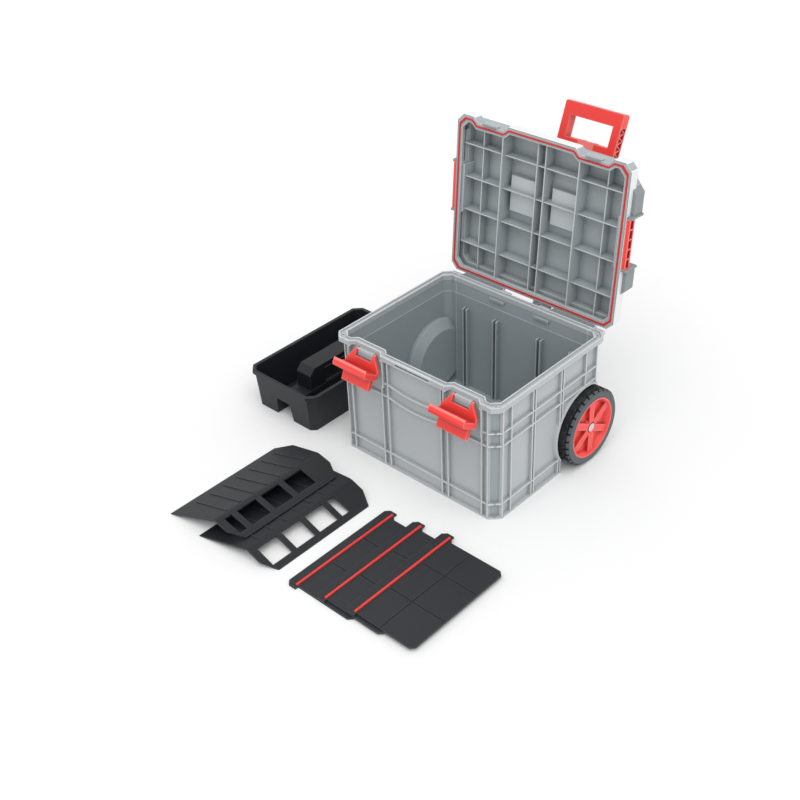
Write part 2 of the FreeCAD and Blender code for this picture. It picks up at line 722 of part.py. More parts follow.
def lid_grid():
    rear = lid_middle + half_y
    front = lid_middle - half_y
    half = s.lid_rib / 2
    ribs = []
    for side, tag in sides:
        rows = (
            ("main", s.lid_rib_main, s.main_rib_dip), ("centre", s.lid_rib_centre, s.centre_rib_dip),
            ("side", s.lid_rib_side, s.side_rib_dip))
        for name, offset, dip in rows:
            ribs.append(block(
                f"lid_rib_{name}_{tag}", (side * offset - half, side * offset + half), (front, rear),
                (lid_seat + dip, lid_top)))
        ribs.append(block(
            f"bin_{tag}", mirrored(side, s.bin_inner, s.bin_outer), (-s.bin_far, -s.bin_near),
            (lid_top - s.lid_wall - s.bin_depth, lid_top)))
        hollow_near = half_x - s.grip_hollow - s.lid_wall
        ribs.append(block(
            f"grip_wall_{tag}", mirrored(side, hollow_near, half_x),
            (-s.grip_near - s.grip_length, -s.grip_near), (lid_seat + s.lid_flange - s.lid_wall, lid_top)))
    for letter, offset in zip("abcd", (s.cross_rib_a, s.cross_rib_b, s.cross_rib_c, s.cross_rib_d)):
        ribs.append(block(
            f"cross_rib_{letter}", (-half_x, half_x), (-offset - half, half - offset),
            (lid_seat + s.cross_rib_dip, lid_top)))
    skirt_room = lid_prism("skirt_room", [rim_loop(s.lid_wall / 2)], lid_seat, lid_shoulder - s.lid_wall / 2)
    crown_room = lid_prism("crown_room", [crown_loop(s.lid_wall / 2)], lid_seat, lid_top - s.lid_wall / 2)
    return common("lid_grid", fuse("lid_ribs", ribs), fuse("lid_room", [skirt_room, crown_room]))


def outer_hollows():
    # Bins pressed into the crown, and finger room behind the carrying grips.
    items = []
    for side, tag in sides:
        items.append(block(
            f"bin_hollow_{tag}", mirrored(side, s.bin_inner + s.lid_wall, s.bin_outer - s.lid_wall),
            (s.lid_wall - s.bin_far, -s.bin_near - s.lid_wall), (lid_top - s.bin_depth, lid_top + s.overrun)))
        items.append(block(
            f"grip_hollow_{tag}", mirrored(side, half_x - s.grip_hollow, s.rim_width),
            (s.hollow_end - s.grip_near - s.grip_length, -s.grip_near - s.hollow_end),
            (lid_seat + s.lid_flange, lid_top + s.overrun)))
    return items


def hinge_arms():
    items = []
    middle = (s.hinge_inner + s.hinge_outer) / 2
    for side, tag in sides:
        across = mirrored(side, middle - s.arm_width / 2, middle + s.arm_width / 2)
        items.append(rod_x(f"knuckle_{tag}", s.knuckle_radius, across))
        items.append(block(
            f"arm_{tag}", across, (s.hinge_play - s.hinge_back, s.knuckle_radius), (0, lid_seat + s.arm_rise)))
        items.append(block(
            f"arm_root_{tag}", across, (-s.hinge_back - s.lid_wall, s.knuckle_radius),
            (lid_seat, lid_seat + s.arm_rise)))
    return items


def catch_tabs():
    back = lid_middle - half_y + s.notch_depth - s.tab_play
    items = []
    for side, tag in sides:
        across = latch_bounds(side, s.tab_width / 2)
        items.append(block(
            f"catch_tab_{tag}", across, (back - s.tab_thick, back), (lid_seat - s.tab_drop, lid_seat)))
        items.append(block(
            f"catch_root_{tag}", across, (back - s.tab_thick, back + s.lid_wall),
            (lid_seat, lid_seat + s.tab_height)))
    return items


def grip_brackets():
    items = []
    for side, tag in sides:
        for end, start in (("near", -s.grip_near), ("far", -s.grip_near - s.grip_length - s.bracket_thick)):
            items.append(block(
                f"bracket_{tag}_{end}",
                mirrored(side, half_x - s.crown_inset - s.lid_wall / 2, half_x + s.grip_reach + s.grip_web),
                (start, start + s.bracket_thick), (lid_seat + s.grip_base, lid_seat + s.bracket_height)))
    return items


def grip_gussets():
    # Tapered shoulders that carry each bracket plate out from the crown.
    items = []
    near = half_x - s.crown_inset - s.lid_wall / 2
    far = half_x + s.grip_reach
    low = lid_seat + s.gusset_rise
    for side, tag in sides:
        for end, way, start in (("near", 1, -s.grip_near), ("far", -1, -s.grip_near - s.grip_length)):
            outline = [
                (side * near, start), (side * far, start),
                (side * far, start + way * (s.gusset_length - s.gusset_taper)),
                (side * near, start + way * s.gusset_length),
            ]
            items.append(prism(f"gusset_{tag}_{end}", "XY_Plane", [outline], lid_top - low, low))
    return items


def seal_ring(name, low, high):
    return lid_prism(name, [rim_loop(s.seal_inset), rim_loop(s.seal_inset + s.seal_width)], low, high)


def lid_shell():
    outside = [
        lid_prism("skirt", [rim_loop(0)], lid_seat, lid_shoulder),
        lid_prism("crown", [crown_loop(0)], lid_shoulder, lid_top),
    ]
    inside = [
        lid_prism("flange_mouth", [rim_loop(s.rim_ledge)], lid_seat - s.overrun, lid_shoulder - s.lid_wall),
        lid_prism("skirt_inside", [rim_loop(s.lid_wall)], lid_seat + s.lid_flange, lid_shoulder - s.lid_wall),
        lid_prism("crown_inside", [crown_loop(s.lid_wall)], lid_seat + s.lid_flange, lid_top - s.lid_wall),
    ]
    shell = cut("lid_hollowed", fuse("lid_outside", outside), inside)
    joined = fuse("lid_joined", [shell, lid_grid()] + catch_tabs() + hinge_arms())
    seal_groove = seal_ring("seal_groove", lid_seat - s.overrun, lid_seat + s.seal_height - s.seal_hang)
    pin_bore = rod_x("lid_pin_bore", s.hinge_pin / 2 + s.pin_play, (-half_x, half_x))
    opened = cut("lid_opened", joined, outer_hollows() + [seal_groove, pin_bore])
    return fuse("lid", [opened] + grip_brackets() + grip_gussets())


swing_open(lid_shell(), "lid_shell")
swing_open(seal_ring("seal", lid_seat - s.seal_hang, lid_seat + s.seal_height - s.seal_hang), "lid_gasket")


def side_grip(side, tag):
    # A bar between its brackets with a row of open pockets on the outer face.
    far = half_x + s.grip_reach
    low = lid_seat + s.grip_base
    start = -s.grip_near - s.grip_length
    bar = block(
        f"grip_bar_{tag}", mirrored(side, half_x, far), (start, -s.grip_near), (low, low + s.grip_height))
    pitch = (s.grip_length - s.grip_web) / grip_pocket_count
    pockets = []
    for number in range(grip_pocket_count):
        begin = start + s.grip_web + number * pitch
        pockets.append(block(
            f"grip_pocket_{tag}_{number}", mirrored(side, half_x + s.grip_web, far + s.overrun),
            (begin, begin + pitch - s.grip_web), (low + s.grip_web, low + s.grip_height - s.grip_web)))
    return cut(f"grip_{tag}", bar, pockets)


for side, tag in sides:
    swing_open(side_grip(side, tag), f"side_grip_{tag}")

# Latches, drawn closed with the pin as their X axis, then swung open; the front is towards minus Y


def latch_lever(tag):
    half = s.latch_width / 2
    back = -s.lever_stand
    front = back - s.lever_thick
    window_low = s.ear_radius + s.latch_roof - s.catch_height - s.ear_gap
    ears = [
        rod_x(f"ear_{tag}_{edge}", s.ear_radius, mirrored(side, ear_in, ear_out)) for side, edge in sides]
    plate = prism(f"lever_{tag}", "XZ_Plane", [[
        (-half, -s.lever_length), (half, -s.lever_length), (half, -s.lever_shoulder),
        (ear_out, 0), (ear_in, 0),
        (ear_in, window_low), (-ear_in, window_low), (-ear_in, 0), (-ear_out, 0), (-half, -s.lever_shoulder),
    ]], s.lever_thick, -back)
    tip = -s.finger_reach
    bar_top = s.finger_rise - s.finger_drop
    bar = prism(f"finger_bar_{tag}", "YZ_Plane", [[
        (back, -s.finger_drop), (tip, bar_top), (tip, bar_top + s.finger_lip),
        (tip - s.lever_stand, bar_top + s.finger_lip), (tip - s.lever_stand * 3, bar_top - s.finger_thick / 2),
        (tip, bar_top - s.finger_thick), (front, -s.finger_drop - s.finger_thick), (back, -s.lever_length),
    ]], s.latch_width, -half)
    flap_front = -s.flap_stand - s.flap_thick
    flap = prism(f"flap_{tag}", "YZ_Plane", [[
        (back, -s.finger_drop - s.finger_thick / 2), (-s.flap_stand, -s.lever_length),
        (-s.flap_stand, s.finger_lip - s.flap_length), (-s.flap_stand - s.finger_lip, -s.flap_length),
        (flap_front, -s.flap_length), (flap_front, -s.lever_length),
        (front, -s.finger_drop - s.finger_thick / 2),
    ]], s.flap_width, -s.flap_width / 2)
    bore = rod_x(f"lever_bore_{tag}", s.latch_pin / 2 + s.pin_play, (-half, half))
    return cut(f"latch_{tag}", fuse(f"latch_solid_{tag}", ears + [plate, bar, flap]), [bore])


for side, tag in sides:
    lever = turn(latch_lever(tag), -x_axis, s.latch_open_angle)
    node(place(lever, side * s.latch_offset, latch_y, latch_z), f"latch_lever_{tag}")

# Pull handle, drawn upright on its foot, then leaned back

foot_y = envelope_y + s.handle_back
channel_half = s.channel_width / 2
channel_deep = s.channel_thick / 2
bore_half = channel_half - s.channel_wall
bore_deep = channel_deep - s.channel_wall
post_half = bore_half - s.post_play
post_deep = bore_deep - s.post_play
loop_half = s.loop_width / 2
loop_deep = s.loop_thick / 2
loop_window_low = s.loop_low + s.loop_foot
loop_high = s.loop_low + s.loop_height


def lean_back(item, name):
    turn(item, -x_axis, s.lean_angle)
    return node(place(item, 0, foot_y, s.handle_low), name)


def handle_channel():
    tube = block("channel_block", both(channel_half), both(channel_deep), (0, s.channel_length))
    bore = block(
        "channel_bore", both(bore_half), both(bore_deep), (s.channel_wall, s.channel_length + s.overrun))
    return cut("channel", tube, [bore])


def channel_collar():
    low = s.channel_length - s.collar_height / 2
    ring = block(
        "collar_block", both(channel_half + s.collar_wall), both(channel_deep + s.collar_wall),
        (low, low + s.collar_height))
    seat = block(
        "collar_seat", both(channel_half), both(channel_deep), (low - s.overrun, s.channel_length))
    bore = block("collar_bore", both(bore_half), both(bore_deep), (low, low + s.collar_height + s.overrun))
    return cut("collar", ring, [seat, bore])


def loop_pin_rods(name, radius, half_length):
    height = (s.loop_low + s.post_high) / 2
    return [
        rod_y(f"{name}_{tag}", radius, both(half_length), side * post_half / 2, height) for side, tag in sides]


def handle_post():
    tube = block("post_block", both(post_half), both(post_deep), (s.post_low, s.post_high))
    bore = block(
        "post_bore", both(post_half - s.post_wall), both(post_deep - s.post_wall),
        (s.post_low - s.overrun, s.post_high - s.post_wall))
    pin_bores = loop_pin_rods("post_pin_bore", s.loop_pin / 2 + s.pin_play, s.loop_thick)
    return cut("post", tube, [bore] + pin_bores)


def button_bounds(play, low, high):
    return (both(s.button_width / 2 + play), both(post_deep + play), (low, high))


button_top = loop_window_low + s.button_stand
button_low = button_top - s.button_height


def handle_loop():
    rise = s.loop_height / 2
    outline = [(x, z + s.loop_low + rise) for x, z in octagon(loop_half, rise, s.loop_corner)]
    frame = prism("loop_frame", "XZ_Plane", [outline], s.loop_thick, -loop_deep)
    window = block(
        "loop_window", both(loop_half - s.loop_side), both(s.loop_thick),
        (loop_window_low, loop_high - s.loop_top))
    socket = block("loop_socket", both(post_half), both(post_deep), (s.loop_low - s.overrun, s.post_high))
    low = button_low - s.button_travel - s.button_play
    seat = block("button_seat", *button_bounds(s.button_play, low, button_top))
    bores = loop_pin_rods("loop_pin_bore", s.loop_pin / 2 + s.pin_play, s.loop_thick)
    pockets = [
        block(f"loop_pocket_{tag}", mirrored(side, loop_half - s.loop_pocket, loop_half + s.overrun),
              both(loop_deep - s.loop_pocket_wall), (s.loop_low + s.loop_pocket_wall, loop_high - s.loop_top))
        for side, tag in sides]
    return cut("loop", frame, [window, socket, seat] + bores + pockets)


def handle_button():
    key = block("button_key", *button_bounds(0, button_low, button_top))
    groove = block(
        "button_groove_cut", both(s.button_width / 4), both(s.loop_thick),
        (button_top - s.button_groove, button_top + s.overrun))
    return cut("button", key, [groove])


lean_back(handle_channel(), "handle_channel")
lean_back(channel_collar(), "channel_collar")
lean_back(handle_post(), "handle_post")
lean_back(handle_loop(), "handle_loop")
lean_back(group("loop_pin_pair", loop_pin_rods("loop_pin", s.loop_pin / 2, loop_deep)), "loop_pins")
lean_back(handle_button(), "handle_button")

# Console: a back plate with two cheeks that hold the leaning channel

plate_back = envelope_y + s.console_plate


def handle_console():
    plate = block(
        "console_back", both(s.console_width / 2), (envelope_y, plate_back), (s.console_low, s.console_high))
    lean_top = foot_y + (s.console_high - s.handle_low) * tangent(s.lean_angle)
    outline = [
        (envelope_y, s.console_low), (foot_y, s.console_low), (foot_y + s.channel_thick, s.handle_low),
        (lean_top + channel_deep, s.console_high - s.channel_thick), (lean_top, s.console_high),
        (envelope_y, s.console_high),
    ]
    solids = [plate]
    for side, tag in sides:
        near = mirrored(side, channel_half, channel_half + s.console_cheek)[0]
        solids.append(prism(f"console_cheek_{tag}", "YZ_Plane", [outline], s.console_cheek, near))
    bores = screw_rods("console_bore", s.screw_shank / 2 + s.pin_play, (envelope_y, plate_back))
    return cut("console", fuse("console_solid", solids), bores)


def console_screws():
    shanks = screw_rods("shank", s.screw_shank / 2, (panel_y, plate_back))
    heads = screw_rods("head", s.screw_head / 2, (plate_back, plate_back + s.screw_head_thick))
    pairs = enumerate(zip(shanks, heads))
    return group("screws", [fuse(f"screw_{number}", list(pair)) for number, pair in pairs])


node(handle_console(), "handle_console")
node(console_screws(), "console_screws")

# Tray: a tapered tub with two compartments either side of a hollow carrying ridge

tray_half_x = s.tray_width / 2
tray_half_y = s.tray_length / 2


def tray_loop(inset):
    return octagon(tray_half_x - inset, tray_half_y - inset, s.tray_corner - inset * corner_gain)


def tub(name, inset, low, high):
    # The tub's form drawn in by an inset, narrower at the foot by the draft.
    return loft_up(name, tray_loop(s.tray_draft + inset), low, tray_loop(inset), high)


def tunnel(name, swell, reach):
    half = s.tunnel_width / 2 + swell
    outline = [
        (-half, 0), (half, 0), (half - s.tunnel_taper, s.tunnel_height + swell),
        (s.tunnel_taper - half, s.tunnel_height + swell),
    ]
    return prism(name, "XZ_Plane", [outline], 2 * reach, -reach)


def ridge(name, inset):
    end = s.ridge_length / 2 - inset
    top = s.ridge_height - inset
    outline = [
        (-end, 0), (end, 0), (end, top - s.ridge_slope), (end - s.ridge_slope, top),
        (s.ridge_slope - end, top), (-end, top - s.ridge_slope),
    ]
    return prism(name, "YZ_Plane", [outline], s.ridge_width - 2 * inset, inset - s.ridge_width / 2)


def tray_body():
    lip = prism(
        "tray_lip", "XY_Plane", [tray_loop(-s.tray_lip)], s.tray_lip_height, s.tray_height - s.tray_lip_height)
    hollow = tub("tray_hollow", s.tray_wall, s.tray_wall, s.tray_height + s.tray_wall)
    form = tub("tray_form", 0, 0, s.tray_height)
    room = tub("tunnel_room", 0, 0, s.tray_height)
    tunnel_wall = common("tunnel_wall", tunnel("tunnel_outside", s.tray_wall, tray_half_y), room)
    open_tub = cut("tray_tub", fuse("tray_outside", [form, lip]), [hollow])
    solid = fuse("tray_solid", [open_tub, tunnel_wall, ridge("ridge_outside", 0)])
    finger_slot = block(
        "finger_slot", both(s.ridge_width), both(s.slot_length / 2),
        (s.ridge_height - s.slot_depth - s.slot_rise, s.ridge_height - s.slot_depth))
    inside = [tunnel("tunnel_inside", 0, s.tray_length), ridge("ridge_inside", s.tray_wall), finger_slot]
    return cut("tray", solid, inside)


node(place(tray_body(), s.tray_x, s.tray_y, 0), "tray_body")

# Organisers: a plate bent along its length, with windows in one flank and low steps across the other

bend_right = s.flank_width + s.window_flank
plan_loop = [
    (0, -s.organiser_skew), (s.flank_width, 0), (bend_right - s.organiser_bevel, 0),
    (bend_right, s.organiser_corner), (bend_right, s.organiser_length - s.organiser_corner),
    (bend_right - s.organiser_bevel, s.organiser_length), (s.flank_width, s.organiser_length),
    (s.organiser_bevel, s.organiser_length + s.organiser_skew / 2), (0, s.organiser_length - s.organiser_skew),
]
bend_loop = [
    (0, 0), (s.organiser_thick * 2, 0), (s.flank_width, s.bend_rise - s.organiser_thick),
    (bend_right - s.organiser_thick, 0), (bend_right, 0), (bend_right, s.organiser_thick / 2),
    (s.flank_width + s.organiser_thick, s.bend_rise), (s.flank_width - s.organiser_thick, s.bend_rise),
    (0, s.organiser_thick / 2),
]


def flank_height(x):
    # Height of the middle of the wide flank's plate at a distance from its outer edge.
    return x * (s.bend_rise - s.organiser_thick / 2) / (s.flank_width - s.organiser_thick / 2)


def organiser(tag, lead):
    # A lead leaves room for the narrow window at the front end; without it the window is at the back end.
    long_way = s.organiser_length + 2 * s.overrun
    bent = prism(f"bent_{tag}", "XZ_Plane", [bend_loop], long_way + s.overrun, -long_way)
    plan = prism(f"plan_{tag}", "XY_Plane", [plan_loop], s.bend_rise + 2 * s.overrun, -s.overrun)
    plate = common(f"plate_{tag}", bent, plan)
    pitch = s.window_length + s.window_gap
    terrace_end = s.flank_width - s.organiser_thick * 2
    step_top = s.organiser_thick / 2 + s.terrace_rise
    across = (s.flank_width + s.window_inset, s.flank_width + s.window_inset + s.window_width)
    through = (-s.overrun, s.bend_rise + s.overrun)
    narrow = s.window_first if lead else s.window_first + window_count * pitch
    windows = [block(f"end_window_{tag}", across, (narrow, narrow + s.end_window), through)]
    for number in range(window_count):
        start = s.window_first + number * pitch
        if lead:
            start = start + s.end_window + s.window_gap
        windows.append(block(f"window_{tag}_{number}", across, (start, start + s.window_length), through))
    terraces = []
    for number in range(terrace_count):
        step_start = s.organiser_length * (number + 1) / (terrace_count + 1)
        terraces.append(prism(f"terrace_{tag}_{number}", "XZ_Plane", [[
            (s.organiser_corner, flank_height(s.organiser_corner)),
            (s.organiser_corner, flank_height(s.organiser_corner) + step_top),
            (terrace_end, flank_height(terrace_end) + step_top),
            (terrace_end, flank_height(terrace_end)),
        ]], s.terrace_length, -step_start - s.terrace_length))
    return cut(f"organiser_{tag}", fuse(f"organiser_solid_{tag}", [plate] + terraces), windows)


node(place(organiser("lower", False), s.lower_x, s.lower_y, 0), "organiser_lower")
upper = turn(organiser("upper", True), -y_axis, s.upper_tilt_angle)
node(place(upper, s.upper_x, s.upper_y, 0), "organiser_upper")

# Dividers: flat grooved panels, each with a strip beside its margin, fanned in a low stack

strip_edge = s.divider_margin - s.strip_inset
strip_x = (strip_edge - s.strip_width, strip_edge)
strip_y = (s.front_tab, s.divider_length - s.front_tab)
strip_z = (s.divider_thick - s.strip_seat, s.divider_thick - s.strip_seat + s.strip_height)


def divider_panel(tag):
    rear = s.divider_length - s.rear_tab
    outline = [
        (s.divider_corner, 0), (s.divider_margin, 0), (s.divider_margin, s.front_tab),
        (s.divider_width - s.divider_corner, s.front_tab), (s.divider_width, s.front_tab + s.divider_corner),
        (s.divider_width, rear - s.divider_corner), (s.divider_width - s.divider_corner, rear),
        (s.divider_margin + s.divider_corner, rear), (s.divider_margin, rear + s.divider_corner),
        (s.divider_margin, s.divider_length), (s.divider_corner, s.divider_length),
        (0, s.divider_length - s.divider_corner), (0, s.divider_corner),
    ]
    panel = prism(f"panel_{tag}", "XY_Plane", [outline], s.divider_thick)
    depth = (s.divider_thick - s.groove_depth, s.divider_thick + s.overrun)
    half = s.groove_width / 2
    grooves = []
    for number, share in enumerate(cross_groove_shares):
        y = s.divider_length * share
        grooves.append(block(
            f"cross_groove_{tag}_{number}", (s.divider_margin + s.groove_end, s.divider_width - s.groove_end),
            (y - half, y + half), depth))
    x = s.divider_margin + (s.divider_width - s.divider_margin) * long_groove_share
    grooves.append(block(
        f"long_groove_{tag}", (x - half, x + half), (s.front_tab + s.groove_end, rear - s.groove_end), depth))
    seat = block(f"strip_seat_{tag}", strip_x, strip_y, (strip_z[0], s.divider_thick + s.overrun))
    return cut(f"divider_{tag}", panel, grooves + [seat])


for layer, tag in enumerate(("bottom", "middle", "top")):
    corner = (
        s.divider_x + layer * s.divider_step_x, s.divider_y + layer * s.divider_step_y,
        layer * (s.divider_thick + s.divider_gap))
    node(place(divider_panel(tag), *corner), f"divider_panel_{tag}")
    bounds = [(start + low, start + high) for start, (low, high) in zip(corner, (strip_x, strip_y, strip_z))]
    node(block(f"strip_{tag}", *bounds), f"divider_strip_{tag}")

doc.recompute()

# Every object has to be sound before anything is written
for item in doc.Objects:
    if "Invalid" in item.State or "Error" in item.State:
        raise RuntimeError(f"{item.Name} failed: {item.State}")
for name, item in nodes.items():
    if item.Shape.isNull() or not item.Shape.isValid():
        raise RuntimeError(f"{name} has no sound shape")

os.makedirs("parts", exist_ok=True)
for name, item in nodes.items():
    item.Shape.exportStep(f"parts/{name}.step")
    print(name, len(item.Shape.Solids), round(item.Shape.Volume / 1000), "ccm")
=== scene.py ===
import bpy
import math
from mathutils import Matrix, Vector


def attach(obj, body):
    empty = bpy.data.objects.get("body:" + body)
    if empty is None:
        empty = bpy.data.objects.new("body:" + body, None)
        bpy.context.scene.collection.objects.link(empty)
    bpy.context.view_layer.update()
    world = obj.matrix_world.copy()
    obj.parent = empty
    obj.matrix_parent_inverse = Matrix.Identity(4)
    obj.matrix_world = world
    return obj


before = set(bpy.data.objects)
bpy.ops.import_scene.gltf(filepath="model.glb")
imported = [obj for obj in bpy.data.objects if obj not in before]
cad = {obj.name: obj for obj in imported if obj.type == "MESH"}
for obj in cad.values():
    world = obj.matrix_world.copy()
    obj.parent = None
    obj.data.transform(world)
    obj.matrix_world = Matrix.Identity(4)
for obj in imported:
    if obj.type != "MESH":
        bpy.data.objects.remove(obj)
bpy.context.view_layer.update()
print("frame loaded:", len(cad), "nodes")

lidLean = 94.6  # degrees that the open lid leans back from the rim
postLean = 21.6  # degrees that the handle post leans back


def paint(red, green, blue):
    # screen colour, 0 to 255, as the shader's linear colour
    def linear(part):
        part = part / 255
        return part / 12.92 if part <= 0.04045 else ((part + 0.055) / 1.055) ** 2.4
    return (linear(red), linear(green), linear(blue), 1)


# short ways to add nodes

def add(tree, kind, links=None, **settings):
    # one node with its settings; links maps an input to a value or to another node's output
    node = tree.nodes.new(kind)
    for key, value in settings.items():
        setattr(node, key, value)
    for key, value in (links or {}).items():
        if isinstance(value, bpy.types.NodeSocket):
            tree.links.new(value, node.inputs[key])
        else:
            node.inputs[key].default_value = value
    return node


def math2(tree, operation, first, second, clamp=False):
    return add(tree, "ShaderNodeMath", {0: first, 1: second}, operation=operation, use_clamp=clamp).outputs[0]


def absolute(tree, value):
    return math2(tree, "ABSOLUTE", value, 0.0)


def vector2(tree, operation, first, second, output="Vector"):
    return add(tree, "ShaderNodeVectorMath", {0: first, 1: second}, operation=operation).outputs[output]


def mixed(tree, share, first, second, blend="MIX"):
    # colour mix; the colour sockets of the node are its 7th, 8th and third
    node = add(tree, "ShaderNodeMix", {0: share, 6: first, 7: second}, data_type="RGBA", blend_type=blend)
    return node.outputs[2]


def ranged(tree, value, low, high, start=0.0, stop=1.0):
    return add(tree, "ShaderNodeMapRange", {
        "Value": value, "From Min": low, "From Max": high, "To Min": start, "To Max": stop}).outputs["Result"]


def objectPlace(tree):
    return add(tree, "ShaderNodeTexCoord").outputs["Object"]


def split(tree, vector):
    return add(tree, "ShaderNodeSeparateXYZ", {0: vector}).outputs


def bumped(tree, height, depth, normal=None):
    links = {"Strength": 1.0, "Distance": depth, "Height": height}
    if normal is not None:
        links["Normal"] = normal
    return add(tree, "ShaderNodeBump", links).outputs["Normal"]


# camera where the photo was taken, solved from the rim and the floor lines
shot = {
    "place": (1.4437, -1.7128, 1.6865), "turn": 44.093, "rise": 34.907, "roll": -2.495, "lens": 55.313,
    "sensor": 36, "near": 0.05, "far": 60}


def setCamera():
    turn, rise, roll = (math.radians(shot[key]) for key in ("turn", "rise", "roll"))
    back = Vector((math.sin(turn) * math.cos(rise), -math.cos(turn) * math.cos(rise), math.sin(rise)))
    level = Vector((math.cos(turn), math.sin(turn), 0))
    upright = back.cross(level)
    right = level * math.cos(roll) + upright * math.sin(roll)
    up = upright * math.cos(roll) - level * math.sin(roll)
    data = bpy.data.cameras.new("shot")
    data.lens = shot["lens"]
    data.sensor_width = shot["sensor"]
    data.clip_start, data.clip_end = shot["near"], shot["far"]
    camera = bpy.data.objects.new("shot", data)
    axes = Matrix((right, up, back)).transposed().to_4x4()
    camera.matrix_world = Matrix.Translation(Vector(shot["place"])) @ axes
    bpy.context.scene.collection.objects.link(camera)
    bpy.context.scene.camera = camera


setCamera()

# studio: white room, one broad soft lamp high on the right
studio = {"room": 0.78, "wall": 1.02, "lamp": 1.5, "lampSpread": 60, "lampFrom": (0.62, -0.55, 1.6)}


def setStudio():
    world = bpy.data.worlds.new("room")
    world.use_nodes = True
    tree = world.node_tree
    sky = tree.nodes["Background"]
    sky.inputs["Color"].default_value = (1, 1, 1, 1)
    # seen straight on, the far wall is as white as the floor
    seen = add(tree, "ShaderNodeLightPath").outputs["Is Camera Ray"]
    tree.links.new(ranged(tree, seen, 0.0, 1.0, studio["room"], studio["wall"]), sky.inputs["Strength"])
    bpy.context.scene.world = world
    lamp = bpy.data.lights.new("softLamp", "SUN")
    lamp.energy = studio["lamp"]
    lamp.angle = math.radians(studio["lampSpread"])
    holder = bpy.data.objects.new("softLamp", lamp)
    holder.rotation_mode = "QUATERNION"
    holder.rotation_quaternion = Vector(studio["lampFrom"]).to_track_quat("Z", "Y")
    bpy.context.scene.collection.objects.link(holder)
    bpy.context.scene.view_settings.view_transform = "Standard"


setStudio()
print("camera and studio set")


# shader node groups shared by the finishes

def newGroup(name, inputs, outputs):
    group = bpy.data.node_groups.new(name, "ShaderNodeTree")
    for label, value in inputs:
        group.interface.new_socket(label, in_out="INPUT", socket_type="NodeSocketFloat").default_value = value
    for label, kind in outputs:
        group.interface.new_socket(label, in_out="OUTPUT", socket_type=kind)
    return group, group.nodes.new("NodeGroupInput").outputs, group.nodes.new("NodeGroupOutput").inputs


grainForm = {
    "fineDetail": 2.0, "fineRough": 0.6, "slowDetail": 3.0, "slowRough": 0.55, "cellShare": 0.5}


def mouldGrain():
    # fine spark-eroded grain and slow colour drift of moulded plastic
    group, given, result = newGroup(
        "mouldGrain", [("Grain Size", 900.0), ("Drift Size", 9.0)],
        [("Drift", "NodeSocketFloat"), ("Height", "NodeSocketFloat"), ("Speckle", "NodeSocketFloat")])
    place = objectPlace(group)
    fine = add(group, "ShaderNodeTexNoise", {
        "Vector": place, "Scale": given["Grain Size"], "Detail": grainForm["fineDetail"],
        "Roughness": grainForm["fineRough"]})
    slow = add(group, "ShaderNodeTexNoise", {
        "Vector": place, "Scale": given["Drift Size"], "Detail": grainForm["slowDetail"],
        "Roughness": grainForm["slowRough"]})
    cells = add(group, "ShaderNodeTexVoronoi", {"Vector": place, "Scale": given["Grain Size"]})
    pits = math2(group, "MULTIPLY", cells.outputs["Distance"], grainForm["cellShare"])
    group.links.new(slow.outputs["Fac"], result["Drift"])
    group.links.new(math2(group, "ADD", fine.outputs["Fac"], pits), result["Height"])
    group.links.new(fine.outputs["Fac"], result["Speckle"])
    return group


# openness of the solid behind a face, from flat to a sharp edge
edgeForm = {"flat": 0.95, "sharp": 0.35, "samples": 6, "roundSamples": 4}


def edgeLightAndShade():
    # masks for painted highlights on pale rounded edges and painted shade darkening inside corners, and a rounded
    # normal
    group, given, result = newGroup(
        "edgeLightAndShade", [("Edge Reach", 0.002), ("Corner Reach", 0.012), ("Rounding", 0.0008)],
        [("Edge", "NodeSocketFloat"), ("Corner", "NodeSocketFloat"), ("Normal", "NodeSocketVector")])
    within = add(group, "ShaderNodeAmbientOcclusion", {"Distance": given["Edge Reach"]},
                 samples=edgeForm["samples"], inside=True, only_local=True)
    outside = add(group, "ShaderNodeAmbientOcclusion", {"Distance": given["Corner Reach"]},
                  samples=edgeForm["samples"], only_local=True)
    rounded = add(group, "ShaderNodeBevel", {"Radius": given["Rounding"]}, samples=edgeForm["roundSamples"])
    group.links.new(ranged(group, within.outputs["AO"], edgeForm["flat"], edgeForm["sharp"]), result["Edge"])
    group.links.new(math2(group, "SUBTRACT", 1.0, outside.outputs["AO"]), result["Corner"])
    group.links.new(rounded.outputs["Normal"], result["Normal"])
    return group


grainGroup = mouldGrain()
edgeGroup = edgeLightAndShade()


def startMaterial(name):
    material = bpy.data.materials.new(name)
    material.use_nodes = True
    return material.node_tree, material.node_tree.nodes["Principled BSDF"]


def placeGrain(tree, look):
    grain = add(tree, "ShaderNodeGroup", {
        "Grain Size": look["grainSize"], "Drift Size": look["driftSize"]}, node_tree=grainGroup)
    return grain.outputs


def finishSurface(tree, shader, colour, rough, normal):
    tree.links.new(colour, shader.inputs["Base Color"])
    tree.links.new(rough, shader.inputs["Roughness"])
    tree.links.new(normal, shader.inputs["Normal"])


def roomMask(tree, room):
    # 1 inside a box, which may be turned about X
    angle = math.radians(room["turn"])
    turn = Matrix.Rotation(angle, 3, "X")
    local = add(tree, "ShaderNodeMapping", {
        "Vector": objectPlace(tree), "Location": turn @ -Vector(room["middle"]), "Rotation": (angle, 0, 0)})
    away = vector2(tree, "ABSOLUTE", local.outputs["Vector"], (0, 0, 0))
    past = split(tree, vector2(tree, "SUBTRACT", away, room["half"]))
    most = math2(tree, "MAXIMUM", math2(tree, "MAXIMUM", past["X"], past["Y"]), past["Z"])
    return ranged(tree, most, 0.0, -room["soft"])


# how far from a joining plane the painted edge highlights fade out and are whole again
seamFade = {"near": 0.0008, "far": 0.0022}


